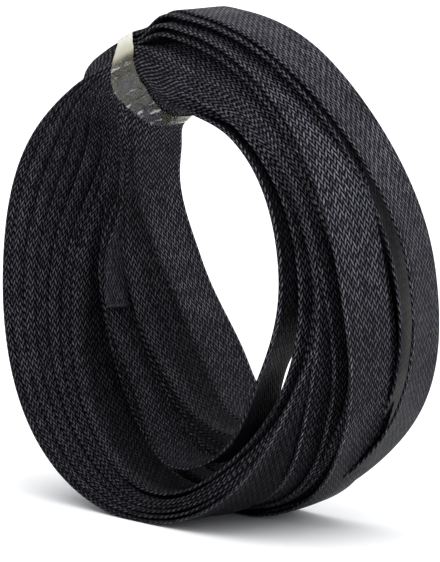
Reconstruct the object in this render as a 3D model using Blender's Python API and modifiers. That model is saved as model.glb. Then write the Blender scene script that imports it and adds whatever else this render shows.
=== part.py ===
"""A tied coil of flat braided cable sleeve, standing on its rim. Metres, +Z up.

The coil's axis runs along Y and its near end faces -Y. Angles round the coil start at +X
and rise towards +Z. All turns pass through one narrow waist, where a clear film tie holds
them, and they fan out to a wide, loose band on the other side of the coil.
"""

import math

import bmesh
import bpy

# The coil as a whole
RIM_RADIUS = 0.120
BORE_RADIUS = 0.079
PRESSED_FLAT = 0.0005      # how far the floor presses the rim in
FLOOR_DEPTH = RIM_RADIUS - PRESSED_FLAT
NEAR_END_Y = -0.031        # the near end on the right of the coil
FAR_END_Y = 0.036          # the far end, opposite the tie
STRAY = 0.001              # how far the turns stray from that plain ring for each 1 in the stations

# Where the loose turns stray to, at stations round the coil. Each corner of the section is
# (outwards, along the axis), in steps of STRAY. Outwards is from the bore's radius for the
# bore's corners and the knees of the ends, and from the rim's radius for the corners of the
# rim. Along the axis is from the near end for the first four, from the far end for the rest.
# Angle: near bore, near knee, near rim, rim knee, far rim, far knee, far bore
STATIONS = {
    3: ((0.5, -0.5), (20, 9), (-7, 7), (-5, 38), (-10, -0.5), (18, 0), (1, -4)),
    30: ((0, 0.5), (16, 7), (-9, 5.5), (-2, 27), (-1, -18), (18, -17), (0.5, -16)),
    58: ((0, 2), (14, 4.5), (-12, 4.5), (-1, 11), (2.5, -26.5), (26, -35.5), (0.5, -30)),
    88: ((0.5, 2), (16, 2), (-5, 2), (2, 11), (4.5, -28), (36, -37), (1, -36)),
    98: ((3.5, 3.5), (19, 2), (-5, 2), (5, 12), (6, -27), (34, -37), (0, -35)),
    105: ((3, 17), (16, 3), (-7, 1.5), (1.5, 11.5), (5, -28), (31, -31), (0, -34.5)),
    121: ((3, 17), (16, 3), (-7, 1.5), (1.5, 11.5), (5, -28), (31, -31), (0, -34.5)),
    133: ((1, 17), (21, 12), (-1, 0), (6.5, 12), (6, -22), (31, -31), (0, -21)),
    150: ((-3, 26), (26, 28), (6, -4), (4, 24), (-1, -6), (24, -9), (-3, -12)),
    182: ((-13, 39.5), (29, 26), (10, -9), (8, 21), (-1, 1), (22, 1.5), (-13, 1.5)),
    225: ((-11, 42), (26, 30), (9, -15), (8, 16), (-0.5, 1), (22, 2), (-12, 5)),
    265: ((-4, 39), (20, 22), (0.5, -13), (1, 30), (0, 2), (22, 2), (-4, 2)),
    295: ((0, 36), (9, 0), (-5, -7), (1, 33), (-3, 2), (22, 1), (-2, 1)),
    325: ((1, -3), (19, 17), (-5, 26), (-1, 46), (-6, 8), (20, 1), (-1, -1)),
}

# The waist that the tie holds together, where the section stays the same
TIE_ANGLE = 113.0
WAIST_HALF_ANGLE = 8.0
EASE_ANGLE = 16.0          # from the waist to the full stepped section

# The turns that show on the surface
LAYERS = 9                 # bands of turns that show on each end
INNER_LAYERS = 5           # those between the bore and the knee
END_STAGGER = 0.0021       # how far every second band stands back
GROOVE_DEPTH = 0.0022      # between two sleeves side by side on the rim and in the bore
GROOVE_WIDTH = 0.004
SEGMENTS = 72
BOTTOM_ANGLE = 270.0

# The tie
TIE_WIDTH = 0.019
TIE_THICKNESS = 0.0004     # several windings of thin film
TIE_GAP = 0.0004
TIE_BANDS = 3

SLEEVE_COLOUR = (0.018, 0.018, 0.021, 1.0)
FILM_COLOUR = (0.72, 0.71, 0.62, 0.45)

END_POINTS = 2 * LAYERS


def turn_between(angle, centre):
    """The size of the angle between two directions, in degrees, from 0 to 180."""
    return abs((angle - centre + 180.0) % 360.0 - 180.0)


def ease(share):
    """A smooth step from 0 to 1 as share goes from 0 to 1."""
    held = min(1.0, max(0.0, share))
    return held * held * (3.0 - 2.0 * held)


def from_waist(angle):
    """0 in the waist, rising smoothly to 1 on either side of it."""
    return ease((turn_between(angle, TIE_ANGLE) - WAIST_HALF_ANGLE) / EASE_ANGLE)


def between(start, end, share):
    """The point that lies share of the way from start to end."""
    return tuple(a + (b - a) * share for a, b in zip(start, end))


def along_curve(before, start, end, after, gaps, share):
    """A smooth value between two stations, from the values and gaps on either side."""
    slopes = [(b - a) / gap for a, b, gap in zip((before, start, end), (start, end, after), gaps)]
    first = (slopes[0] * gaps[1] + slopes[1] * gaps[0]) / (gaps[0] + gaps[1])
    last = (slopes[1] * gaps[2] + slopes[2] * gaps[1]) / (gaps[1] + gaps[2])
    if slopes[0] * slopes[1] <= 0.0:
        first = 0.0
    if slopes[1] * slopes[2] <= 0.0:
        last = 0.0
    lift = ease(share)
    leave = share * (1.0 - share) ** 2 * gaps[1] * first
    arrive = -(share**2) * (1.0 - share) * gaps[1] * last
    return start + (end - start) * lift + leave + arrive


def corners(angle):
    """The section's seven corners as (radius, y), in the order of the stations' rows."""
    knots = sorted(STATIONS)
    count = len(knots)
    turned = (angle - knots[0]) % 360.0 + knots[0]
    place_before = max(index for index, knot in enumerate(knots) if knot <= turned)
    around = [place_before + step for step in (-1, 0, 1, 2)]
    angles = [knots[index % count] + 360.0 * (index // count) for index in around]
    gaps = [angles[step + 1] - angles[step] for step in range(3)]
    share = (turned - angles[1]) / gaps[1]
    rows = [STATIONS[knots[index % count]] for index in around]
    radii = (BORE_RADIUS,) * 2 + (RIM_RADIUS,) * 3 + (BORE_RADIUS,) * 2
    ends = (NEAR_END_Y,) * 4 + (FAR_END_Y,) * 3
    points = []
    for corner, (radius, end) in enumerate(zip(radii, ends)):
        outwards, along = (
            along_curve(*(row[corner][axis] for row in rows), gaps, share) * STRAY for axis in (0, 1)
        )
        points.append((radius + outwards, end + along))
    return points


def banded_end(path, knee_share, inward, looseness):
    """One end of the coil, through its knee: bands of turns, every second one set back."""
    points = []
    for index in range(END_POINTS):
        band = index // 2
        stepped = (band + index % 2) / LAYERS
        share = between((index / (END_POINTS - 1),), (stepped,), looseness)[0]
        if share < knee_share:
            radius, y = between(path[0], path[1], share / knee_share)
        else:
            radius, y = between(path[1], path[2], (share - knee_share) / (1.0 - knee_share))
        points.append((radius, y + END_STAGGER * (band % 2) * inward * looseness))
    return points


def groove(start, end, inward, looseness):
    """The groove between two flat sleeves that lie side by side from start to end."""
    half_width = GROOVE_WIDTH / 2.0 / math.dist(start, end)
    points = []
    for offset, depth in ((-2.0, 0.0), (-1.0, 1.0), (1.0, 1.0), (2.0, 0.0)):
        radius, y = between(start, end, 0.5 + offset * half_width)
        points.append((radius + inward * depth * GROOVE_DEPTH * looseness, y))
    return points


def section(angle):
    """The coil's outline at an angle, as (radius, y) points."""
    looseness = from_waist(angle)
    near_bore, near_knee, near_rim, rim_knee, far_rim, far_knee, far_bore = corners(angle)
    knee_share = INNER_LAYERS / LAYERS
    return (
        banded_end((near_bore, near_knee, near_rim), knee_share, 1.0, looseness)
        + [rim_knee]
        + groove(rim_knee, far_rim, -1.0, looseness)
        + banded_end((far_rim, far_knee, far_bore), 1.0 - knee_share, -1.0, looseness)
        + groove(far_bore, near_bore, 1.0, looseness)
    )


def widened(outline, growth):
    """An outline with every point moved out of it by growth."""
    points = []
    for before, point, after in zip(outline[-1:] + outline, outline, outline[1:] + outline[:1]):
        run, rise = after[0] - before[0], after[1] - before[1]
        length = math.hypot(run, rise)
        points.append((point[0] + growth * rise / length, point[1] - growth * run / length))
    return points


def place(radius, y, angle):
    """A section point turned to its angle round the coil, and pressed flat at the floor."""
    turned = math.radians(angle)
    height = FLOOR_DEPTH + radius * math.sin(turned)
    return (radius * math.cos(turned), y, max(0.0, height))


def coil_sections():
    """Every section round the coil, each a list of points in space."""
    sections = []
    for step in range(SEGMENTS):
        angle = BOTTOM_ANGLE + 360.0 * (step + 0.5) / SEGMENTS
        sections.append([place(radius, y, angle) for radius, y in section(angle)])
    return sections


def seat(sections):
    """Where the coil stands: its lowest point on the floor and its box centred over it."""
    points = [point for section in sections for point in section]
    low = [min(point[axis] for point in points) for axis in range(3)]
    high = [max(point[axis] for point in points) for axis in range(3)]
    return (-(low[0] + high[0]) / 2.0, -(low[1] + high[1]) / 2.0, -low[2])


def material(name, colour, roughness):
    """A plain finish for one piece."""
    made = bpy.data.materials.new(name)
    made.use_nodes = True
    shader = made.node_tree.nodes["Principled BSDF"]
    shader.inputs["Base Color"].default_value = colour
    shader.inputs["Alpha"].default_value = colour[3]
    shader.inputs["Roughness"].default_value = roughness
    shader.inputs["Metallic"].default_value = 0.0
    return made


def add_object(name, mesh, collection, finish, location):
    """Links a mesh as a named object of the coil."""
    made = bpy.data.objects.new(name, mesh)
    made.location = location
    made.data.materials.append(finish)
    collection.objects.link(made)
    return made


def build_coil(collection, sections, location):
    """The wound sleeve: one closed ring, lofted through its sections."""
    shape = bmesh.new()
    rings = [[shape.verts.new(point) for point in section] for section in sections]
    for index, ring in enumerate(rings):
        following = rings[(index + 1) % len(rings)]
        for side in range(len(ring)):
            after = (side + 1) % len(ring)
            shape.faces.new((ring[side], ring[after], following[after], following[side]))
    bmesh.ops.recalc_face_normals(shape, faces=shape.faces)
    mesh = bpy.data.meshes.new("braided_sleeve_coil")
    shape.to_mesh(mesh)
    shape.free()
    finish = material("black_braid", SLEEVE_COLOUR, 0.55)
    return add_object("braided_sleeve_coil", mesh, collection, finish, location)


def build_tie(collection, location):
    """The clear film wound round the waist: an open band, given its thickness outwards."""
    half_angle = math.degrees(TIE_WIDTH / (BORE_RADIUS + RIM_RADIUS))
    outline = widened(section(TIE_ANGLE), TIE_GAP)
    shape = bmesh.new()
    loops = []
    for band in range(TIE_BANDS + 1):
        angle = TIE_ANGLE + half_angle * (2.0 * band / TIE_BANDS - 1.0)
        loops.append([shape.verts.new(place(radius, y, angle)) for radius, y in outline])
    for first, second in zip(loops, loops[1:]):
        for side in range(len(outline)):
            after = (side + 1) % len(outline)
            shape.faces.new((first[side], first[after], second[after], second[side]))
    bmesh.ops.recalc_face_normals(shape, faces=shape.faces)
    mesh = bpy.data.meshes.new("film_tie")
    shape.to_mesh(mesh)
    shape.free()
    finish = material("clear_film", FILM_COLOUR, 0.12)
    tie = add_object("film_tie", mesh, collection, finish, location)
    thickness = tie.modifiers.new("film", "SOLIDIFY")
    thickness.thickness = TIE_THICKNESS
    thickness.offset = 1.0
    return tie


def clear_scene():
    """Removes whatever objects the file starts with."""
    for old in list(bpy.data.objects):
        bpy.data.objects.remove(old, do_unlink=True)


def main():
    """Builds the coil and its tie."""
    clear_scene()
    collection = bpy.data.collections.new("braided_cable_sleeve")
    bpy.context.scene.collection.children.link(collection)
    sections = coil_sections()
    location = seat(sections)
    build_coil(collection, sections, location)
    build_tie(collection, location)


main()
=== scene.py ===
"""A coil of flat black braided cable sleeve that stands on its rim, held by a clear film tie.

The coil's turns, its cut end and the tie are built round the fixed frame, in metres, with +Z up.
"""

import logging
import math
from dataclasses import dataclass, field
from enum import Enum

import bpy
import numpy as np
from bpy.types import Material, Node, NodeSocket, NodeTree, Object
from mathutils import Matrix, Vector


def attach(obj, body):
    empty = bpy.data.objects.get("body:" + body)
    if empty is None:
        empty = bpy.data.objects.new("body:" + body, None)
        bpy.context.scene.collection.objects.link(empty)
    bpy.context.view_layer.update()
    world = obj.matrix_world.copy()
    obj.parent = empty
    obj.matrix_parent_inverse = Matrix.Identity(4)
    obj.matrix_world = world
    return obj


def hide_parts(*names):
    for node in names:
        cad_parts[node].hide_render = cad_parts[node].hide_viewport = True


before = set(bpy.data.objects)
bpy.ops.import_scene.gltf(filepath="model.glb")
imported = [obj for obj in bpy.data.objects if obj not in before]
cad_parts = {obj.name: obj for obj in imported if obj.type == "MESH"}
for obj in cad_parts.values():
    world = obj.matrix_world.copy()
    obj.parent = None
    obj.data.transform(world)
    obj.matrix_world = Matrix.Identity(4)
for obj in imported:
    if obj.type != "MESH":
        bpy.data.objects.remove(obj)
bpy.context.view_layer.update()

LOG = logging.getLogger("sleeve_coil")
BODY = "root"
MM = 0.001

# The coil's centre in the frame: its axis runs along Y through this point
COIL_CENTRE = Vector((0.007408, 0.001015, 0.1195))

PointList = list[tuple[float, float]]
Colour = tuple[float, float, float, float]
Range = tuple[float, float]
Triple = tuple[float, float, float]


class Finish(Enum):
    """The record's material slots for the braid and the film."""

    BRAID = "black_braid"
    FILM = "clear_film"


# Which sockets a mix node uses for colours
MIX_INPUTS = (0, 6, 7)
MIX_OUTPUT = 2


class Sketch:
    """Short ways to add nodes to one node tree and join them."""

    def __init__(self, tree: NodeTree) -> None:
        """Start drawing in a material's or group's node tree."""
        self.tree = tree

    def node(self, kind: str, **settings: object) -> Node:
        """Add one node.

        Args:
            kind: Blender's name of the node type.
            settings: Properties to set on the node.

        Returns:
            The new node.
        """
        made = self.tree.nodes.new(kind)
        for name, value in settings.items():
            setattr(made, name, value)
        return made

    def feed(self, socket: NodeSocket, value: object) -> None:
        """Join a socket to another socket, or set its value.

        Args:
            socket: The input to feed.
            value: An output socket, a number or a colour.
        """
        if isinstance(value, NodeSocket):
            self.tree.links.new(value, socket)
        elif value is not None:
            socket.default_value = value

    def math(self, operation: str, *values: object, clamp: bool = False) -> NodeSocket:
        """Add a math node.

        Args:
            operation: Blender's name of the operation.
            values: Its inputs, as sockets or numbers.
            clamp: Whether the result stays between 0 and 1.

        Returns:
            The result socket.
        """
        made = self.node("ShaderNodeMath", operation=operation, use_clamp=clamp)
        for socket, value in zip(made.inputs, values):
            self.feed(socket, value)
        return made.outputs[0]

    def mix(self, share: object, first: object, second: object) -> NodeSocket:
        """Mix two colours.

        Args:
            share: How much of the second colour, 0 to 1.
            first: The first colour.
            second: The second colour.

        Returns:
            The mixed colour.
        """
        made = self.node("ShaderNodeMix", data_type="RGBA")
        for index, entry in zip(MIX_INPUTS, (share, first, second)):
            self.feed(made.inputs[index], entry)
        return made.outputs[MIX_OUTPUT]

    def spread(
        self, value: object, low: float, high: float, to_low: float = 0.0, to_high: float = 1.0
    ) -> NodeSocket:
        """Map a range of values to another, smoothly and clamped.

        Args:
            value: The value to map.
            low: Start of its range.
            high: End of its range.
            to_low: Result at the start.
            to_high: Result at the end.

        Returns:
            The mapped value.
        """
        made = self.node("ShaderNodeMapRange", interpolation_type="SMOOTHSTEP")
        for index, entry in enumerate((value, low, high, to_low, to_high)):
            self.feed(made.inputs[index], entry)
        return made.outputs[0]

    def uv(self, layer: str) -> tuple[NodeSocket, NodeSocket, NodeSocket]:
        """Read a UV layer.

        Args:
            layer: The layer's name.

        Returns:
            The place on it, and that place's two coordinates.
        """
        place = self.node("ShaderNodeUVMap", uv_map=layer).outputs[0]
        parts = self.node("ShaderNodeSeparateXYZ")
        self.feed(parts.inputs[0], place)
        return place, parts.outputs[0], parts.outputs[1]

    def bump(self, height: object, strength: float, distance: float) -> NodeSocket:
        """Turn a height into a normal.

        Args:
            height: The height, 0 to 1.
            strength: How strongly it shows.
            distance: How deep it is, in metres.

        Returns:
            The normal.
        """
        made = self.node("ShaderNodeBump")
        made.inputs["Strength"].default_value = strength
        made.inputs["Distance"].default_value = distance
        self.feed(made.inputs["Height"], height)
        return made.outputs[0]

    def noise(self, place: object, scale: object, detail: float, rough: float) -> NodeSocket:
        """Add a noise texture.

        Args:
            place: The coordinates it is read at.
            scale: Its frequency, per metre.
            detail: How many finer layers it has.
            rough: How strong those layers are.

        Returns:
            The noise value, about 0 to 1.
        """
        made = self.node("ShaderNodeTexNoise")
        self.feed(made.inputs["Vector"], place)
        self.feed(made.inputs["Scale"], scale)
        made.inputs["Detail"].default_value = detail
        made.inputs["Roughness"].default_value = rough
        return made.outputs[0]


GroupStart = tuple[Sketch, dict[str, NodeSocket], Node]


def group_tree(name: str, inputs: dict[str, object], outputs: list[str]) -> GroupStart:
    """Start a shader node group with named sockets.

    Args:
        name: The group's name.
        inputs: Input names with their default values; None stands for a vector.
        outputs: Names of the value outputs.

    Returns:
        A sketch on its tree, its input sockets by name, and its output node.
    """
    tree = bpy.data.node_groups.new(name, "ShaderNodeTree")
    for label, default in inputs.items():
        kind = "NodeSocketVector" if default is None else "NodeSocketFloat"
        socket = tree.interface.new_socket(label, in_out="INPUT", socket_type=kind)
        if default is not None:
            socket.default_value = default
    for label in outputs:
        tree.interface.new_socket(label, in_out="OUTPUT", socket_type="NodeSocketFloat")
    sketch = Sketch(tree)
    entry = sketch.node("NodeGroupInput")
    return sketch, {label: entry.outputs[label] for label in inputs}, sketch.node("NodeGroupOutput")


# The braid repeats after four strands, and its two families of strands start at these places in the repeat
WEAVE_REPEAT = 4.0
FAMILY_STARTS = (2.0, 3.0)

# Parts of a strand's height: how far it rises over the others, its filaments, and its body
RISE, RIDGE, BODY_HEIGHT = 0.38, 0.12, 0.50

# Heights over which a strand comes out of the gap beside it, which is painted near-black, partly as shade
# and partly as the open mesh
OUT_OF_GAP = (0.45, 0.92)


def braid_weave_group() -> NodeTree:
    """Build the braid: strands that pass over two and under two, in slanted floats.

    Returns:
        The node group, with Height, Strand and Tone outputs.
    """
    inputs = {"Along": 0.0, "Across": 0.0, "Strand Pitch": 0.0038, "Rib Width": 0.00165}
    inputs |= {"Cover": 0.8, "Filaments": 3.0}
    draw, given, out = group_tree("braid_weave", inputs, ["Height", "Strand", "Tone"])
    along = draw.math("DIVIDE", given["Along"], given["Strand Pitch"])
    across = draw.math("DIVIDE", given["Across"], given["Rib Width"])
    right = draw.math("ADD", along, across)
    left = draw.math("SUBTRACT", along, across)
    heights = []
    for own, other, start in zip((right, left), (left, right), FAMILY_STARTS):
        past = draw.math("ADD", draw.math("SUBTRACT", other, draw.math("FLOOR", own)), start)
        place = draw.math("SUBTRACT", draw.math("FLOORED_MODULO", past, WEAVE_REPEAT), WEAVE_REPEAT / 2)
        rise = draw.math("COSINE", draw.math("MULTIPLY", place, 2 * math.pi / WEAVE_REPEAT))
        from_middle = draw.math("MULTIPLY_ADD", draw.math("FRACT", own), 2.0, -1.0)
        side = draw.math("DIVIDE", from_middle, given["Cover"])
        crown = draw.math("SQRT", draw.math("SUBTRACT", 1.0, draw.math("MULTIPLY", side, side), clamp=True))
        half_turns = draw.math("MULTIPLY", given["Filaments"], math.pi)
        thread = draw.math("MULTIPLY", draw.math("FRACT", own), half_turns)
        ridge = draw.math("ABSOLUTE", draw.math("SINE", thread))
        low_part = draw.math("MULTIPLY_ADD", ridge, RIDGE, BODY_HEIGHT)
        heights.append(draw.math("MULTIPLY", crown, draw.math("MULTIPLY_ADD", rise, RISE, low_part)))
    height = draw.math("MAXIMUM", *heights)
    draw.feed(out.inputs["Height"], height)
    draw.feed(out.inputs["Strand"], draw.spread(height, *OUT_OF_GAP))
    cell = draw.node("ShaderNodeCombineXYZ")
    draw.feed(cell.inputs[0], draw.math("FLOOR", right))
    draw.feed(cell.inputs[1], draw.math("FLOOR", left))
    white = draw.node("ShaderNodeTexWhiteNoise", noise_dimensions="2D")
    draw.feed(white.inputs["Vector"], cell.outputs[0])
    draw.feed(out.inputs["Tone"], white.outputs["Value"])
    return draw.tree


# The noise of the slow patches and of the dust: (detail, roughness), and the values over which each shows
PATCH_NOISE, PATCH_SHOWS = (3.0, 0.55), (0.30, 0.70)
DUST_NOISE, DUST_SHOWS = (2.0, 0.6), (0.62, 0.75)


def soft_variation_group() -> NodeTree:
    """Build slow changes of tone and fine dust, shared by every finish.

    Returns:
        The node group, with Tone and Dust outputs.
    """
    inputs = {"Place": None, "Patch Scale": 30.0, "Dust Scale": 900.0}
    draw, given, out = group_tree("soft_variation", inputs, ["Tone", "Dust"])
    patches = draw.noise(given["Place"], given["Patch Scale"], *PATCH_NOISE)
    specks = draw.noise(given["Place"], given["Dust Scale"], *DUST_NOISE)
    draw.feed(out.inputs["Tone"], draw.spread(patches, *PATCH_SHOWS))
    draw.feed(out.inputs["Dust"], draw.spread(specks, *DUST_SHOWS))
    return draw.tree


def call_group(sketch: Sketch, tree: NodeTree, **values: object) -> Node:
    """Place a node group and feed its inputs.

    Args:
        sketch: Where it is placed.
        tree: The group's tree.
        values: Input values, named with underscores for spaces.

    Returns:
        The group node.
    """
    made = sketch.node("ShaderNodeGroup", node_tree=tree)
    for name, value in values.items():
        sketch.feed(made.inputs[name.replace("_", " ")], value)
    return made


def start_material(name: str) -> tuple[Material, Sketch, Node]:
    """Make a material with an empty Principled shader.

    Args:
        name: The material's name.

    Returns:
        The material, a sketch on its tree, and the Principled node.
    """
    made = bpy.data.materials.new(name)
    made.use_nodes = True
    sketch = Sketch(made.node_tree)
    shader = made.node_tree.nodes["Principled BSDF"]
    return made, sketch, shader


@dataclass(frozen=True)
class BraidFinish:
    """Satin black plastic filaments, braided into a mesh. Lengths are in metres.

    Attributes:
        strand_pitch: Length along the sleeve from one strand to the next.
        rib_width: Width across the sleeve from one strand to the next; the tube has ribs of them round it.
        cover: Share of that width that a strand covers.
        patch_share: How strongly slow patches darken the strands.
        shaded: How much of its colour a strand keeps in full painted shade.
        fold_highlight: Distances from a fold over which its painted highlight line ends.
        fold_shadow: Distances from a fold over which the painted shadow band beside that line ends.
        fold_shade: How much of the lit share is kept in that painted shadow band.
        relief: How far the strands stand up.
    """

    strand_pitch: float = 0.0038
    rib_width: float = 0.00165
    ribs: int = 36
    cover: float = 0.76
    filaments: float = 3.0
    # The gaps are painted near-black, partly as painted shade and partly as the open mesh; the bright colour
    # is a painted highlight
    gap_shade_colour: Colour = (0.0008, 0.0008, 0.0012, 1.0)
    strand_colour: Colour = (0.038, 0.0375, 0.047, 1.0)
    strand_glint_colour: Colour = (0.195, 0.191, 0.225, 1.0)
    patches: float = 26.0
    dust: float = 700.0
    patch_share: float = 0.35
    shaded: float = 0.12
    fold_highlight: Range = (0.0007, 0.0012)
    fold_shadow: Range = (0.0012, 0.0045)
    fold_shade: float = 0.6
    roughness: float = 0.42
    patch_roughness: float = 0.12
    dust_roughness: float = 0.15
    specular: float = 0.03
    relief: float = 0.00045

    def material(self, weave: NodeTree, variation: NodeTree) -> Material:
        """Build the finish.

        Args:
            weave: The braid group.
            variation: The slow variation group.

        Returns:
            The material.
        """
        made, draw, shader = start_material("black_braid_filaments")
        _, along, across = draw.uv("sleeve")
        sizes = {"Strand_Pitch": self.strand_pitch, "Rib_Width": self.rib_width, "Cover": self.cover}
        braid = call_group(draw, weave, Along=along, Across=across, Filaments=self.filaments, **sizes)
        place = draw.node("ShaderNodeTexCoord").outputs["Object"]
        slow = call_group(draw, variation, Place=place, Patch_Scale=self.patches, Dust_Scale=self.dust)
        # A painted highlight on each braid cell's strand, of random strength from cell to cell
        lit = draw.mix(braid.outputs["Tone"], self.strand_colour, self.strand_glint_colour)
        darkened = draw.math("MULTIPLY", slow.outputs["Tone"], self.patch_share)
        lit = draw.mix(darkened, lit, self.strand_colour)
        # Painted light and shade, with each turn's tone, read from the mesh
        painted_light_and_tone = draw.node("ShaderNodeAttribute", attribute_name="painted_light_and_tone").outputs["Fac"]
        # A painted highlight along each fold of the flat tube, and a painted shadow band beside it
        from_fold = draw.math("PINGPONG", across, self.ribs * self.rib_width / 4)
        beside = draw.spread(from_fold, *self.fold_shadow, self.fold_shade, 1.0)
        fold = draw.spread(from_fold, *self.fold_highlight, 1.0, 0.0)
        lit_share = draw.math("MAXIMUM", draw.math("MULTIPLY", painted_light_and_tone, beside), fold)
        # Where painted shade falls, the colour sinks towards the gap colour
        lit = draw.mix(lit_share, draw.mix(self.shaded, self.gap_shade_colour, lit), lit)
        # The strands show over the gaps, which are painted near-black, partly as shade and partly as the
        # open mesh
        draw.feed(shader.inputs["Base Color"], draw.mix(braid.outputs["Strand"], self.gap_shade_colour, lit))
        rough = draw.math("MULTIPLY_ADD", slow.outputs["Tone"], self.patch_roughness, self.roughness)
        rough = draw.math("MULTIPLY_ADD", slow.outputs["Dust"], self.dust_roughness, rough)
        draw.feed(shader.inputs["Roughness"], rough)
        shader.inputs["Specular IOR Level"].default_value = self.specular
        draw.feed(shader.inputs["Normal"], draw.bump(braid.outputs["Height"], 1.0, self.relief))
        return made


@dataclass(frozen=True)
class FilmFinish:
    """Clear adhesive film: glossy, milky where it is wound thicker, wrinkled.

    Attributes:
        over_rim: Places round the film over which it turns cream as it goes over the rim.
        tan_fade: Places there over which tan turns to cream.
        underneath: Places over which the pale strips below the coil end; they are milky film with a painted
            highlight.
        in_front: Places over which the mottled front ends.
        creases, streaks, strips: Scale, detail and roughness of the noise of each.
        streak_turn: Slant of the painted highlight streaks, in radians.
        streak_stretch: Frequency of the streaks round the film and across it.
        underneath_milk_and_glint, milk_patches: How milky those strips and slow patches are; the strips also
            carry a painted highlight.
        clear: Alpha of film that is not milky.
        milk: Alpha that full milkiness adds.
    """

    cream: Colour = (0.60, 0.59, 0.50, 1.0)
    tan: Colour = (0.40, 0.37, 0.28, 1.0)
    olive: Colour = (0.062, 0.060, 0.036, 1.0)
    grey: Colour = (0.080, 0.080, 0.100, 1.0)
    glint: Colour = (0.42, 0.42, 0.40, 1.0)
    yellow: Colour = (0.55, 0.52, 0.32, 1.0)
    patches: float = 110.0
    dust: float = 1500.0
    over_rim: Range = (0.555, 0.60)
    tan_fade: Range = (0.58, 0.66)
    underneath: Range = (0.14, 0.20)
    in_front: Range = (0.48, 0.50)
    creases: Triple = (260.0, 3.0, 0.6)
    streak_turn: float = -0.45
    streak_stretch: Triple = (34.0, 1.1, 1.0)
    streaks: Triple = (1.0, 3.0, 0.65)
    streaks_show: Range = (0.56, 0.70)
    strips: Triple = (0.6, 1.0, 0.5)
    strips_show: Range = (0.32, 0.46)
    roughness: float = 0.10
    crease_roughness: float = 0.25
    underneath_milk_and_glint: float = 0.9
    milk_patches: float = 0.15
    clear: float = 0.45
    milk: float = 0.50
    relief_strength: float = 0.6
    relief: float = 0.0008

    def material(self, variation: NodeTree) -> Material:
        """Build the finish.

        Args:
            variation: The slow variation group.

        Returns:
            The material.
        """
        made, draw, shader = start_material("clear_wrinkled_film")
        film_place, round_it, _ = draw.uv("film")
        place = draw.node("ShaderNodeTexCoord").outputs["Object"]
        slow = call_group(draw, variation, Place=place, Patch_Scale=self.patches, Dust_Scale=self.dust)
        patches = slow.outputs["Tone"]
        creases = draw.noise(place, *self.creases)
        outer = draw.spread(round_it, *self.over_rim)
        stretched = draw.node("ShaderNodeMapping")
        draw.feed(stretched.inputs["Vector"], film_place)
        stretched.inputs["Rotation"].default_value = (0.0, 0.0, self.streak_turn)
        stretched.inputs["Scale"].default_value = self.streak_stretch
        # Painted highlight streaks along the creases
        streaks = draw.spread(draw.noise(stretched.outputs[0], *self.streaks), *self.streaks_show)
        strips = draw.spread(draw.noise(stretched.outputs[0], *self.strips), *self.strips_show)
        # Pale strips below the coil: partly milky film, partly a painted highlight
        under = draw.math("MULTIPLY", draw.spread(round_it, *self.underneath, 1.0, 0.0), strips)
        front = draw.spread(round_it, *self.in_front, 1.0, 0.0)
        backing = draw.mix(front, self.olive, draw.mix(patches, self.grey, self.olive))
        # The painted highlight streaks over the film's backing colour
        backing_with_glints = draw.mix(streaks, backing, self.glint)
        colour = draw.mix(under, backing_with_glints, draw.mix(streaks, self.yellow, self.cream))
        # Tan where the film first goes over the rim, turning to cream further round
        tan_fade = draw.mix(draw.spread(round_it, *self.tan_fade), self.tan, self.cream)
        draw.feed(shader.inputs["Base Color"], draw.mix(outer, colour, tan_fade))
        rough = draw.math("MULTIPLY_ADD", creases, self.crease_roughness, self.roughness)
        draw.feed(shader.inputs["Roughness"], rough)
        # The milky strips below the coil and the painted highlight streaks make the film more opaque
        pale = draw.math("MAXIMUM", draw.math("MULTIPLY", under, self.underneath_milk_and_glint), streaks)
        milky = draw.math("MULTIPLY_ADD", patches, self.milk_patches, draw.math("MAXIMUM", outer, pale))
        alpha = draw.math("MULTIPLY_ADD", milky, self.milk, self.clear, clamp=True)
        draw.feed(shader.inputs["Alpha"], alpha)
        draw.feed(shader.inputs["Normal"], draw.bump(creases, self.relief_strength, self.relief))
        return made


@dataclass(frozen=True)
class FloorFinish:
    """Plain white matt studio floor."""

    colour: Colour = (0.93, 0.93, 0.94, 1.0)
    patches: float = 3.0
    dust: float = 400.0
    roughness: float = 0.75
    patch_roughness: float = 0.05
    specular: float = 0.2

    def material(self, variation: NodeTree) -> Material:
        """Build the finish.

        Args:
            variation: The slow variation group.

        Returns:
            The material.
        """
        made, draw, shader = start_material("pale_floor")
        place = draw.node("ShaderNodeTexCoord").outputs["Object"]
        slow = call_group(draw, variation, Place=place, Patch_Scale=self.patches, Dust_Scale=self.dust)
        draw.feed(shader.inputs["Base Color"], self.colour)
        rough = draw.math("MULTIPLY_ADD", slow.outputs["Tone"], self.patch_roughness, self.roughness)
        draw.feed(shader.inputs["Roughness"], rough)
        shader.inputs["Specular IOR Level"].default_value = self.specular
        return made


def apart(angle: np.ndarray, other: float) -> np.ndarray:
    """How many degrees directions lie from another one, 0 to 180."""
    return np.abs((angle - other + 180) % 360 - 180)


def smooth_through(knots: np.ndarray, values: np.ndarray, where: np.ndarray) -> np.ndarray:
    """Read a smooth curve through knots that is level at both ends.

    Args:
        knots: Rising knot positions.
        values: The value at each knot.
        where: Positions to read it at.

    Returns:
        The values there.
    """
    gap = np.diff(knots)
    slope = np.diff(values) / gap
    tangent = np.zeros(len(knots))
    tangent[1:-1] = (slope[:-1] * gap[1:] + slope[1:] * gap[:-1]) / (gap[1:] + gap[:-1])
    cell = np.clip(np.searchsorted(knots, where) - 1, 0, len(gap) - 1)
    part = (where - knots[cell]) / gap[cell]
    return (
        (2 * part**3 - 3 * part**2 + 1) * values[cell]
        + (part**3 - 2 * part**2 + part) * gap[cell] * tangent[cell]
        + (3 * part**2 - 2 * part**3) * values[cell + 1]
        + (part**3 - part**2) * gap[cell] * tangent[cell + 1]
    )


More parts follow.
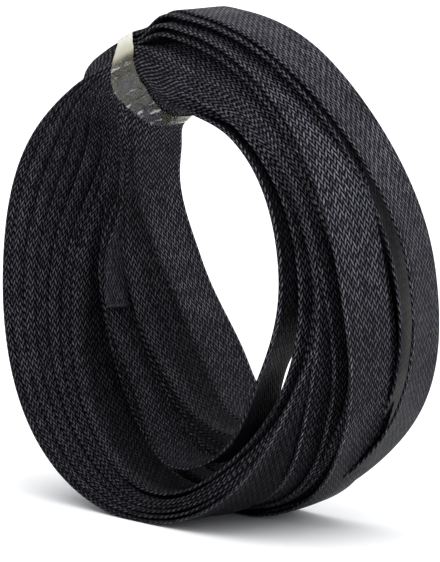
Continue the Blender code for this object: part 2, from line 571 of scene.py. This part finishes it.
def half_hull(points: PointList) -> PointList:
    """Find the corners of a convex outline that lie on one side of its points.

    Args:
        points: Points in a plane, sorted along the outline's length.

    Returns:
        The corners, without the last.
    """
    kept: PointList = []
    for x, y in points:
        while len(kept) > 1:
            (ax, ay), (bx, by) = kept[-2:]
            if (bx - ax) * (y - ay) - (by - ay) * (x - ax) > 0:
                break
            kept.pop()
        kept.append((x, y))
    return kept[:-1]


def convex_hull(points: PointList) -> PointList:
    """Find the corners of the smallest convex outline round some points, anticlockwise."""
    order = sorted(points)
    return half_hull(order) + half_hull(order[::-1])


# Angles round the coil, from +X towards +Z, at which the routes are given
STATIONS = (98.0, 88.0, 58.0, 3.0, -35.0, -65.0, -95.0, -135.0, -178.0, -210.0, -227.0)

# Where each turn's near edge runs at those stations: its radius and its y, in millimetres from the coil's
# axis and middle, and the degrees that its far edge is drawn in
ROUTES: dict[str, tuple[tuple[float, ...], ...]] = {
    "bore_lining": (
        (83.5, 79.5, 79, 79.5, 81, 88, 94, 90, 90, 87, 87),
        (-27.5, -29, -29, -31.5, -34.4, -31, -26, -6.5, -8.5, -4, -18),
        (16, 6, -4, 0, 25, 12, 0, 0, 0, 0, 8),
    ),
    "near_second": (
        (90.5, 86.5, 84.5, 84, 88, 94, 107, 111, 110, 103, 100),
        (-29, -29, -28, -24.7, -25, -28, -32, -25, -9.5, -2, -18),
        (-2, -6, -8, 0, 0, 0, 0, 0, 0, 0, 0),
    ),
    "near_first_inner": (
        (92, 87.5, 85.5, 86, 90, 97, 110, 114, 113.5, 106, 104),
        (-29, -29, -27, -18, -20, -28, -33, -28, -13, -5, -21),
        (-4, -8, -9, 0, 0, 0, 0, 0, 0, 0, 0),
    ),
    "near_last_inner": (
        (97, 92, 88.5, 92, 96, 107, 116.8, 126, 126.3, 120.5, 115),
        (-29.2, -29, -26, -15, -18, -35, -41, -43, -37.5, -33.5, -31),
        (-9, -14, -14, 0, 0, 0, 0, 0, 0, 0, 0),
    ),
    "near_outer": (
        (98.3, 93, 89.5, 94, 97, 111, 119.3, 128.3, 128.6, 123.8, 117.6),
        (-29.3, -29, -26, -16, -28, -38.5, -43.5, -46, -41, -37.5, -32),
        (-10, -16, -16, 0, 0, 0, 0, 0, 0, 0, 0),
    ),
    "right_inner": (
        (99.8, 94.2, 90.5, 96, 99, 111, 113, 110, 106, 106, 119),
        (-29.4, -29, -26.5, -25, -17, -8, -5, 2, 4, -2, -22.5),
        (-13, -22, -22, 0, 0, 0, 0, 0, 0, 0, -3),
    ),
    "right_outer": (
        (101.5, 95.4, 91.7, 98.5, 101, 112.5, 114.5, 112, 108, 108, 120),
        (-29.4, -29, -26, -22, -4, 3, 3, 5, 6, 0, -22.5),
        (-16, -26, -24, 0, 0, 0, 0, 0, 0, 0, -3),
    ),
    "middle_inner": (
        (103.5, 96.8, 93, 101, 104, 110, 110, 111, 110, 110, 121),
        (-29.5, -29, -26, -14, 2, 4, 5, 5, 5, 0, -22.5),
        (-20, -28, -25, 0, 0, 0, 0, 0, 0, 0, -3),
    ),
    "middle_between": (
        (105, 98.3, 94.5, 102.5, 105.5, 112.5, 112.5, 113, 112, 111.5, 122),
        (-29.5, -29, -26, -15, 1, 4.5, 5, 5, 5, 0, -22.5),
        (-22, -30, -26, 0, 0, 0, 0, 0, 0, 0, -3),
    ),
    "middle_outer": (
        (114.5, 111, 104.5, 104.5, 108, 114, 115.5, 115, 113.5, 113, 123.2),
        (-29.3, -29, -26, -16, 0, 5, 5, 5, 5, 0, -22),
        (-9, -14, -16, 0, 0, 0, 0, 0, 0, 0, -3),
    ),
    "broad_face": (
        (118.5, 115.5, 108.5, 113, 116, 118.5, 119, 118, 116, 115.5, 124.4),
        (-29, -29, -26.5, -24.2, -6, 6.5, 5, 5, 6, 1, -21),
        (-8, -10, -14, 4, 10, 8, 0, 0, 0, 0, -3),
    ),
    "far_innermost": (
        (84.5, 80.7, 80.5, 80, 78.5, 77, 72.5, 63.5, 66, 75, 79),
        (-27, -27, -21, 3, 6, 8, 11, 18.5, 12.5, -4, -13.5),
        (14, 6, 0, 0, 0, 0, 0, 0, -8, -2, 5),
    ),
    "far_second": (
        (85.5, 81.7, 81.8, 83, 82, 83, 81, 79.5, 80, 84, 84),
        (-27.5, -27, -20, 4, 5, 3, 3, 6.5, 0.5, -6, -15),
        (12, 5, 0, 0, 0, 0, 0, 0, 0, 0, 6),
    ),
    "far_third": (
        (86.5, 82.7, 83, 86, 86, 88, 88, 86, 86, 88, 87.5),
        (-28, -27, -18, 6, 6, 7, 7, 8, 6, -4, -16),
        (10, 4, 0, 0, 0, 0, 0, 0, 0, 0, 5),
    ),
    "far_sixth": (
        (89, 85.6, 86, 92.5, 96, 102, 103, 102, 98, 96, 95),
        (-28.5, -27, -17, 8, 8, 8, 8, 8, 8, 0, -15),
        (6, -2, -4, 0, 0, 0, 0, 0, 0, 0, 0),
    ),
    "rim_second": (
        (123, 120.8, 118, 110.5, 111.5, 113, 117.8, 119, 117.5, 117, 125.6),
        (-25, -26, -20.5, 10.2, 20, 8, 9, 7, 7, 2, -19.5),
        (-7, -5, -4, 34, 30, 8, 2, 0, 0, 0, -3),
    ),
    "rim_first": (
        (125, 123.2, 121, 115, 116.6, 116.4, 119.4, 120.5, 119, 118.5, 126.8),
        (-18.5, -20.5, -19.0, 14.6, 21.5, 11.5, 10, 8, 8, 2, -18),
        (-4, -3, -2, 22, 20, 8, 2, 0, 0, 0, -2),
    ),
}

# Where the near edge of each turn lies in the tie, for stack places 0 to 21: (place, radius, y, lean)
TIED_RIGHT = (
    (0, 90.5, -25.0, 23.0), (4, 94.5, -28.0, 17.0), (8, 99.0, -29.5, 9.0), (13, 105.5, -29.8, 0.0),
    (17, 111.5, -28.8, -6.0), (19, 115.5, -27.0, -8.0), (20, 118.8, -24.0, -8.0), (21, 121.2, -19.5, -8.0),
)
TIED_LEFT = (
    (0, 88.8, -21.0, 20.0), (4, 95.0, -27.5, 15.0), (8, 103.0, -30.0, 7.0), (13, 111.5, -30.0, 0.0),
    (17, 117.0, -28.0, -5.0), (19, 119.8, -26.3, -6.0), (20, 121.2, -24.6, -6.0), (21, 122.6, -21.5, -6.0),
)

# Turns between two named routes: (first, last, names between)
BETWEEN = (
    ("near_first_inner", "near_last_inner", ("near_a", "near_b", "near_c")),
    ("far_third", "far_sixth", ("far_fourth", "far_fifth")),
)

# Painted shade on named turns, most on those deep in the coil or under others: the share of lit colour they
# keep
TURN_SHADE = {"far_innermost": 0.7, "far_second": 0.65, "far_third": 0.7, "cut_end": 0.9, "rim_second": 0.45}

# What the other turns have: their usual wear, and how much it differs from turn to turn
USUAL_WEAR, WEAR_STEP = 0.9, 0.05

# Painted light round the coil as (angle, share): lighter at the top right and on the left, darker by the
# floor
LIGHT_ROUND = (
    (-90, 0.40), (-50, 0.35), (-15, 0.5), (10, 0.8), (30, 1.0),
    (75, 1.0), (110, 0.85), (180, 1.0), (215, 0.6), (270, 0.4),
)

# The same for the turn that lines the bore, which the others shade on the right
LINING_ROUND = ((-90, 0.6), (-60, 0.0), (60, 0.0), (100, 0.7), (180, 0.8), (270, 0.6))

# From the bore outwards, how the turns lie in the tie as they leave it to the right
RIGHT_STACK = (
    "bore_lining far_innermost far_second far_third far_fourth far_fifth far_sixth near_second"
    " near_first_inner near_a near_b near_c near_last_inner near_outer right_inner right_outer"
    " middle_inner middle_between middle_outer broad_face rim_second rim_first"
).split()

# As they leave it to the left, the lining lies outside four of the far turns
LEFT_STACK = RIGHT_STACK[1:5] + RIGHT_STACK[:1] + RIGHT_STACK[5:]

# From far_fourth to middle_inner, only a strip by the near edge is open; painted shade covers the rest:
# (distance from that edge, lit share)
OVERLAPPED = RIGHT_STACK[4:17]
OVERLAP_SHADE = ((0.0, 1.0), (3.0, 1.0), (7.0, 0.55), (11.0, 0.2))

# The cut end, from the tie down the left side of the bore: (angle, radius, y, lean) of its near edge
CUT_END = (
    (112.8, 93.0, -26.5, 18.0), (120.0, 93.5, -26.0, 16.0), (133.0, 84.2, -16.5, 6.0),
    (153.5, 82.6, -2.6, 0.0), (166.0, 83.8, -3.5, 0.0), (178.6, 86.0, -7.5, 0.0), (197.0, 85.6, -10.2, 0.0),
)

# Its width along the way as (angle, share of the flat sleeve's)
CUT_END_WIDTHS = ((125.0, 1.0), (153.5, 0.66), (178.6, 0.56), (194.5, 0.48))


def place_object(
    name: str, vertices: np.ndarray, faces: list[list[int]], layer: str, uvs: PointList
) -> Object:
    """Make a smooth mesh object with one UV layer and put it into the scene.

    Args:
        name: The object's name.
        vertices: Its points, in metres.
        faces: Its faces as vertex indices.
        layer: Name of the UV layer.
        uvs: The UV place of each face corner, face by face.

    Returns:
        The object.
    """
    mesh = bpy.data.meshes.new(name)
    mesh.from_pydata(vertices.tolist(), [], faces)
    mesh.uv_layers.new(name=layer).data.foreach_set("uv", np.array(uvs, np.float32).ravel())
    mesh.shade_smooth()
    made = bpy.data.objects.new(name, mesh)
    bpy.context.scene.collection.objects.link(made)
    return made


@dataclass
class SleeveCoil:
    """The flat braided sleeve, wound into a loose coil, with its cut end. Lengths are in millimetres.

    Attributes:
        tied_reach: Degrees on each side of the tie's middle over which the tied stack is held.
        tied_bow: How hollow a fully leaning turn lies in the tie.
        full_lean: The lean, in degrees, from which a turn counts as fully leaning.
        crown: Least and most that a turn's flat faces bulge.
        calm_until, calm_fade: Degrees from the tie up to which a turn lies even, and then grows uneven.
        wander: Height of the unevenness.
        ripples: Each ripple's waves round the coil, skew across the sleeve, and share of the height.
        sway: How far the turns sway along the axis: waves round the coil, and share of the height.
        floor_gap: Least height over the floor.
    """

    sleeve_width: float = 29.0
    sleeve_thick: float = 1.5
    tie_angle: float = 112.8
    tied_reach: float = 7.0
    tied_bow: float = -4.0
    full_lean: float = 23.0
    crown: Range = (-0.35, 0.45)
    calm_until: float = 8.0
    calm_fade: float = 30.0
    wander: float = 0.35
    ripples: tuple[Triple, ...] = ((3, 2.2, 1.0), (7, -3.1, 0.6))
    sway: Range = (2, 1.5)
    floor_gap: float = 0.3
    steps: int = 180
    cut_end_steps: int = 60
    face_points: int = 9
    seed: int = 11
    tracks: dict[str, np.ndarray] = field(init=False)

    def __post_init__(self) -> None:
        """Lay out the named routes and the turns that lie between two of them."""
        self.tracks = {name: np.array(rows, float) for name, rows in ROUTES.items()}
        for first, last, names in BETWEEN:
            for index, name in enumerate(names):
                share = (index + 1) / (len(names) + 1)
                self.tracks[name] = self.tracks[first] + (self.tracks[last] - self.tracks[first]) * share

    def section(self) -> tuple[np.ndarray, np.ndarray, np.ndarray]:
        """Outline the flat tube.

        Returns:
            Distance across, offset outwards, and distance round, for each point and the closing one.
        """
        half = self.sleeve_thick / 2
        run = np.linspace(half, self.sleeve_width - half, self.face_points)
        turn = np.radians([45.0, 0.0, -45.0])
        far_edge = self.sleeve_width - half + half * np.cos(turn)
        across = np.concatenate([run, far_edge, run[::-1], half - half * np.cos(turn)])
        out = np.concatenate(
            [np.full(len(run), half), half * np.sin(turn), np.full(len(run), -half), -half * np.sin(turn)]
        )
        outline = np.stack([across, out])
        steps = np.hypot(*(np.roll(outline, -1, 1) - outline))
        distance = np.concatenate([[0.0], np.cumsum(steps)])
        return across, out, distance

    def sweep(
        self, path: np.ndarray, wave: np.random.Generator, widths: np.ndarray | float = 1.0
    ) -> np.ndarray:
        """Carry the section along a path.

        Args:
            path: Rows of angle, radius, y and lean of the near edge, with a column for each step.
            wave: Random source of the small unevenness.
            widths: Width at each step, as a share of the flat sleeve's.

        Returns:
            Points as (step, section point, xyz), in metres.
        """
        angle, radius, y, lean = path
        across, out, _ = self.section()
        turn, tip = np.radians(angle), np.radians(lean)
        radial = np.stack([np.cos(turn), np.zeros_like(turn), np.sin(turn)], 1)
        axial = np.array([0.0, 1.0, 0.0])
        over = -np.sin(tip)[:, None] * radial + np.cos(tip)[:, None] * axial
        outward = np.cos(tip)[:, None] * radial + np.sin(tip)[:, None] * axial
        start = radius[:, None] * radial + y[:, None] * axial
        phase = wave.uniform(0, 2 * math.pi, 4)
        crown = wave.uniform(*self.crown)
        calm = np.clip((apart(angle, self.tie_angle) - self.calm_until) / self.calm_fade, 0, 1)
        share = across / self.sleeve_width
        held = np.clip(lean / self.full_lean, 0, 1) * (1 - calm) * self.tied_bow
        bow = (crown * calm + held)[:, None] * np.sin(np.pi * share)[None, :]
        ripple = sum(
            size * np.sin(waves * turn[:, None] + start_phase + skew * share[None, :])
            for (waves, skew, size), start_phase in zip(self.ripples, phase)
        ) * self.wander * calm[:, None]
        sway = np.sin(self.sway[0] * turn + phase[2]) * self.wander * self.sway[1] * calm
        reach = across[None, :] * np.reshape(widths, (-1, 1)) + sway[:, None]
        points = (
            start[:, None, :]
            + reach[:, :, None] * over[:, None, :]
            + (out[None, :] + bow + ripple)[:, :, None] * outward[:, None, :]
        )
        placed = points * MM + np.array(COIL_CENTRE)
        placed[..., 2] = np.maximum(placed[..., 2], self.floor_gap * MM)
        return placed

    @staticmethod
    def tied_place(table: tuple[tuple[float, ...], ...], place: int) -> list[float]:
        """Radius, y and lean of a place in the tied stack."""
        places, *tracks = zip(*table)
        return [float(np.interp(place, places, track)) for track in tracks]

    def tied_middle(self, place: int) -> list[float]:
        """Radius, y and lean of a place in the stack at the tie's middle."""
        sides = zip(self.tied_place(TIED_RIGHT, place), self.tied_place(TIED_LEFT, place))
        return [(right + left) / 2 for right, left in sides]

    def turn_path(self, name: str) -> np.ndarray:
        """Run one whole turn, from the tie round to the tie.

        Args:
            name: The turn's name.

        Returns:
            Rows of angle, radius, y and lean, with a column for each step.
        """
        right, left = RIGHT_STACK.index(name), LEFT_STACK.index(name)
        start = [self.tied_middle(right), self.tied_place(TIED_RIGHT, right)]
        end = [self.tied_place(TIED_LEFT, left), self.tied_middle(left)]
        tracks = np.column_stack(start + [self.tracks[name]] + end)
        stations = [self.tie_angle - station for station in STATIONS]
        knots = np.array([0.0, self.tied_reach] + stations + [360 - self.tied_reach, 360.0])
        along = np.linspace(0.0, 360.0, self.steps + 1)
        return np.array([self.tie_angle - along] + [smooth_through(knots, row, along) for row in tracks])

    def cut_end_path(self) -> np.ndarray:
        """Run the sleeve's cut end, from the tie down the left side of the bore.

        Returns:
            Rows of angle, radius, y and lean, with a column for each step.
        """
        knots, *tracks = np.array(CUT_END).T
        angle = np.linspace(knots[0], knots[-1], self.cut_end_steps)
        return np.array([angle] + [smooth_through(knots, row, angle) for row in tracks])

    def gathered(self, angle: float) -> PointList:
        """Find the corners of every turn's section at an angle inside the tie.

        Args:
            angle: The angle round the coil, in degrees.

        Returns:
            Points as (radius, y), in millimetres.
        """
        wave = np.random.default_rng(self.seed)
        points = []
        for name in RIGHT_STACK:
            path = self.turn_path(name)
            step = int(apart(path[0], angle).argmin())
            swept = self.sweep(path[:, step : step + 1], wave)[0]
            section = (swept - np.array(COIL_CENTRE)) / MM
            points += [(math.hypot(x, z), y) for x, y, z in section]
        return points

    def light_and_tone(self, name: str, number: int, angle: np.ndarray) -> np.ndarray:
        """Find the painted light and shade on a turn's strands, with its tone, by its name, round the coil
        and across the sleeve.

        Args:
            name: The turn's name.
            number: Its place in the stack, by which its usual tone differs.
            angle: Angle round the coil at each step, in degrees.

        Returns:
            The share of lit colour kept, as (step, section point), 0 to 1.
        """
        across, _, _ = self.section()
        uneven = number * 2 % 5 - 2
        turned = (angle + 90) % 360 - 90
        # Painted light round the coil, times the turn's painted shade or its usual tone
        lit_share = np.interp(turned, *zip(*LIGHT_ROUND)) * TURN_SHADE.get(name, USUAL_WEAR + WEAR_STEP * uneven)
        if name == "bore_lining":
            lit_share = lit_share * np.interp(turned, *zip(*LINING_ROUND))
        # Painted shade where the next turns lie over this one
        open_share = np.interp(across, *zip(*OVERLAP_SHADE)) if name in OVERLAPPED else np.ones(len(across))
        return np.outer(lit_share, open_share)

    @staticmethod
    def skin(lengths: np.ndarray, round_it: np.ndarray, forwards: bool) -> tuple[list[list[int]], PointList]:
        """Lay faces over one stretch of sleeve, with a cap at each end.

        Args:
            lengths: Distance along the sleeve at each step.
            round_it: Distance round the tube at each section point, and at the closing one.
            forwards: Whether faces laid in the order of the steps look outwards.

        Returns:
            The faces, as indices into the stretch's own points, and the UV place of each corner.
        """
        rows, count = len(lengths), len(round_it) - 1
        corners = []
        for i in range(rows - 1):
            for j in range(count):
                quad = [(i, j), (i, j + 1), (i + 1, j + 1), (i + 1, j)]
                corners.append(quad if forwards else quad[::-1])
        for row, in_order in ((0, forwards), (rows - 1, not forwards)):
            cap = [(row, j) for j in range(count)]
            corners.append(cap if in_order else cap[::-1])
        faces = [[i * count + j % count for i, j in face] for face in corners]
        uvs = [(lengths[i], round_it[j]) for face in corners for i, j in face]
        return faces, uvs

    def build(self) -> Object:
        """Build every turn and the cut end as one mesh.

        Returns:
            The sleeve's object.
        """
        wave = np.random.default_rng(self.seed)
        vertices: list[np.ndarray] = []
        faces: list[list[int]] = []
        uvs: PointList = []
        painted_light_and_tone: list[np.ndarray] = []
        _, _, distance = self.section()
        round_it = distance / distance[-1] * BraidFinish.ribs * BraidFinish.rib_width
        base = 0
        for number, name in enumerate(RIGHT_STACK + ["cut_end"]):
            if name == "cut_end":
                path = self.cut_end_path()
                points = self.sweep(path, wave, np.interp(path[0], *zip(*CUT_END_WIDTHS)))
            else:
                path = self.turn_path(name)
                points = self.sweep(path, wave)
            gone = np.linalg.norm(np.diff(points.mean(1), axis=0), axis=1)
            # A metre between the turns' places along the sleeve gives each its own pattern of tones
            lengths = np.concatenate([[0.0], np.cumsum(gone)]) + number
            # The cut end is swept the other way round the coil, so its faces are turned over
            turn_faces, turn_uvs = self.skin(lengths, round_it, name != "cut_end")
            faces += [[base + corner for corner in face] for face in turn_faces]
            uvs += turn_uvs
            vertices.append(points.reshape(-1, 3))
            painted_light_and_tone.append(self.light_and_tone(name, number, path[0]).ravel())
            base += len(vertices[-1])
        made = place_object("braided_sleeve_turns", np.concatenate(vertices), faces, "sleeve", uvs)
        light_and_tone = made.data.attributes.new("painted_light_and_tone", "FLOAT", "POINT")
        light_and_tone.data.foreach_set("value", np.concatenate(painted_light_and_tone).astype(np.float32))
        return made

    def dress(self, piece: Object, finish: Material) -> None:
        """Give the sleeve its finish and place it in the frame.

        Args:
            piece: The sleeve's object.
            finish: The braid material.
        """
        piece.data.materials.append(finish)
        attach(piece, BODY)
        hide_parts("braided_sleeve_coil")


# The film's edges round the gathered turns: (direction, angle of the right edge, of the left edge), where
# direction 0 faces the near side and 90 faces away from the coil's axis
FILM_EDGES = (
    (-180, 108, 119), (-150, 108.5, 117), (-122, 109.5, 115.5), (-97, 110.5, 121), (-50, 107.5, 120),
    (-33, 106, 119.8), (-10, 106.7, 120), (13, 107, 118), (37, 106.8, 114.8), (53, 108.3, 113.8),
    (74, 111.2, 115.8), (134, 109, 118), (180, 108, 119),
)


@dataclass
class FilmTie:
    """The clear film wound round the gathered turns, drawn narrow where it passes over the rim.

    Attributes:
        middle: Radius and y of the gathered turns' middle, in millimetres.
        sampled: Angles round the coil at which the turns' outline is taken.
        clearance: Gap between turns and film, in millimetres.
        smoothing: How many times the outline's corners are softened.
        edge_on: Least part of an edge's normal that counts as facing a direction.
        creases: How many creases cross the film.
        crease_waves: Least waves that a crease has round the film, and the bound that they stay under.
        crease_skew, crease_size: Least and most slant, and least and most share of the wrinkle's height.
    """

    middle: tuple[float, float] = (101.0, -14.0)
    sampled: tuple[float, ...] = (106.0, 109.5, 113.0, 116.5, 120.5)
    clearance: float = 0.5
    smoothing: int = 4
    edge_on: float = 1e-6
    thick: float = 0.25
    rows: int = 22
    around: int = 160
    wrinkle: float = 0.45
    creases: int = 16
    crease_waves: tuple[int, int] = (2, 16)
    crease_skew: Range = (-9, 9)
    crease_size: Range = (0.3, 1.0)
    seed: int = 5

    def directions(self) -> np.ndarray:
        """The directions from the middle of the gathered turns, in degrees."""
        return np.linspace(-180.0, 180.0, self.around, endpoint=False)

    def smoothed(self, values: np.ndarray) -> np.ndarray:
        """Values round the film with their corners softened."""
        for _ in range(self.smoothing):
            values = 0.5 * values + 0.25 * (np.roll(values, 1) + np.roll(values, -1))
        return values

    def reach(self, coil: SleeveCoil, angle: float) -> np.ndarray:
        """Find how far the taut film stands from the middle of the gathered turns.

        Args:
            coil: The coil that it holds.
            angle: The angle round the coil, in degrees.

        Returns:
            The distance in each direction, in millimetres.
        """
        loop = np.array(convex_hull(coil.gathered(angle))) - np.array(self.middle)
        along = np.roll(loop, -1, 0) - loop
        outward = np.stack([along[:, 1], -along[:, 0]], 1)
        stand = (outward * loop).sum(1)
        turn = np.radians(self.directions())
        facing = outward @ np.stack([np.sin(turn), -np.cos(turn)])
        distance = stand[:, None] / np.maximum(facing, self.edge_on)
        distance = np.where(facing > self.edge_on, distance, np.inf).min(0)
        return self.smoothed(distance) + self.clearance

    def build(self, coil: SleeveCoil) -> Object:
        """Build the wrinkled band.

        Args:
            coil: The coil that it holds.

        Returns:
            The tie's object.
        """
        rng = np.random.default_rng(self.seed)
        reaches = np.array([self.reach(coil, angle) for angle in self.sampled])
        way, right, left = (np.array(column, float) for column in zip(*FILM_EDGES))
        right, left = (self.smoothed(np.interp(self.directions(), way, edge)) for edge in (right, left))
        turn = np.radians(self.directions())
        around = np.linspace(0, 2 * math.pi, self.around, endpoint=False)
        creases = [
            (
                rng.integers(*self.crease_waves),
                rng.uniform(*self.crease_skew),
                rng.uniform(0, 2 * math.pi),
                rng.uniform(*self.crease_size),
            )
            for _ in range(self.creases)
        ]
        last, count = self.rows - 1, self.around
        sheets = []
        for lift in (0.0, self.thick):
            for row in range(self.rows):
                cross = row / last
                angles = right + (left - right) * cross
                stand = [np.interp(at, self.sampled, reach) for at, reach in zip(angles, reaches.T)]
                bumps = sum(
                    size * np.sin(waves * around + skew * cross + start)
                    for waves, skew, start, size in creases
                ) / math.sqrt(self.creases)
                stand = np.array(stand) + lift + self.wrinkle * np.abs(bumps)
                radius = self.middle[0] + np.sin(turn) * stand
                y = self.middle[1] - np.cos(turn) * stand
                tilt = np.radians(angles)
                sheets.append(np.stack([radius * np.cos(tilt), y, radius * np.sin(tilt)], 1))
        corners = []
        for j in range(count):
            k = j + 1
            for i in range(last):
                corners.append([(1, i, j), (1, i + 1, j), (1, i + 1, k), (1, i, k)])
                corners.append([(0, i, j), (0, i, k), (0, i + 1, k), (0, i + 1, j)])
            corners.append([(0, 0, j), (1, 0, j), (1, 0, k), (0, 0, k)])
            corners.append([(0, last, j), (0, last, k), (1, last, k), (1, last, j)])
        faces = [[(sheet * self.rows + i) * count + j % count for sheet, i, j in quad] for quad in corners]
        uvs = [(j / count, i / last) for quad in corners for _, i, j in quad]
        vertices = np.concatenate(sheets) * MM + np.array(COIL_CENTRE)
        return place_object("film_tie_wrap", vertices, faces, "film", uvs)

    def dress(self, piece: Object, finish: Material) -> None:
        """Give the tie its finish and place it in the frame.

        Args:
            piece: The tie's object.
            finish: The film material.
        """
        piece.data.materials.append(finish)
        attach(piece, BODY)
        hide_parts("film_tie")


@dataclass(frozen=True)
class SoftLight:
    """A broad soft light that comes from one direction, with its spread in degrees."""

    name: str
    energy: float
    spread: float
    towards: Triple

    def build(self) -> None:
        """Hang the light."""
        lamp = bpy.data.lights.new(self.name, "SUN")
        lamp.energy = self.energy
        lamp.angle = math.radians(self.spread)
        made = bpy.data.objects.new(self.name, lamp)
        made.rotation_mode = "QUATERNION"
        made.rotation_quaternion = Vector(self.towards).to_track_quat("-Z", "Y")
        bpy.context.scene.collection.objects.link(made)


# The photo's height, and how far the view is shifted to put the coil where it is there, in pixels
PHOTO_HEIGHT = 562.0
VIEW_SHIFT = (-3.47, -10.36)


@dataclass
class Studio:
    """The floor, the lights and the camera. Angles are in degrees, lens and sensor in millimetres."""

    floor_reach: float = 60.0
    azimuth: float = 51.27
    elevation: float = 5.99
    distance: float = 1.3
    lens: float = 172.72
    sensor: float = 36.0
    clip: Range = (0.05, 300.0)
    sky: float = 0.80
    sky_colour: Colour = (0.96, 0.98, 1.0, 1.0)
    lights: tuple[SoftLight, ...] = (
        SoftLight("overhead_softbox", 2.2, 80.0, (-0.08, 0.14, -1.0)),
        SoftLight("right_softbox", 1.0, 60.0, (-1.0, -0.1, -0.70)),
    )

    def build_floor(self, finish: Material) -> None:
        """Lay the floor.

        Args:
            finish: The floor material.
        """
        reach = self.floor_reach
        corners = [(-reach, -reach, 0), (reach, -reach, 0), (reach, reach, 0), (-reach, reach, 0)]
        mesh = bpy.data.meshes.new("studio_floor")
        mesh.from_pydata(corners, [], [(0, 1, 2, 3)])
        mesh.materials.append(finish)
        floor = bpy.data.objects.new("studio_floor", mesh)
        bpy.context.scene.collection.objects.link(floor)

    def build_lights(self) -> None:
        """Light the room evenly and hang the soft lights."""
        world = bpy.data.worlds.new("white_room")
        world.use_nodes = True
        background = world.node_tree.nodes["Background"]
        background.inputs["Color"].default_value = self.sky_colour
        background.inputs["Strength"].default_value = self.sky
        bpy.context.scene.world = world
        for light in self.lights:
            light.build()

    def build_camera(self) -> None:
        """Set up the camera at the photograph's angle."""
        turn, rise = math.radians(self.azimuth), math.radians(self.elevation)
        level = math.cos(rise)
        back = Vector((math.sin(turn) * level, -math.cos(turn) * level, math.sin(rise)))
        data = bpy.data.cameras.new("camera")
        data.lens = self.lens
        data.sensor_fit = "AUTO"
        data.sensor_width = self.sensor
        data.shift_x, data.shift_y = (shift / PHOTO_HEIGHT for shift in VIEW_SHIFT)
        data.clip_start, data.clip_end = self.clip
        camera = bpy.data.objects.new("camera", data)
        camera.location = COIL_CENTRE + back * self.distance
        camera.rotation_mode = "QUATERNION"
        camera.rotation_quaternion = (-back).to_track_quat("-Z", "Y")
        bpy.context.scene.collection.objects.link(camera)
        bpy.context.scene.camera = camera


def main() -> None:
    """Build the coil, its tie and the studio round the frame."""
    logging.basicConfig(level=logging.INFO, format="%(name)s: %(message)s")
    weave, variation = braid_weave_group(), soft_variation_group()
    coil = SleeveCoil()
    sleeve = coil.build()
    coil.dress(sleeve, BraidFinish().material(weave, variation))
    tie = FilmTie()
    film = tie.build(coil)
    tie.dress(film, FilmFinish().material(variation))
    for piece in (sleeve, film):
        LOG.info("%s: %d faces", piece.name, len(piece.data.polygons))
    studio = Studio()
    studio.build_floor(FloorFinish().material(variation))
    studio.build_lights()
    studio.build_camera()
    bpy.context.scene.view_settings.view_transform = "Standard"


if __name__ == "__main__":
    main()
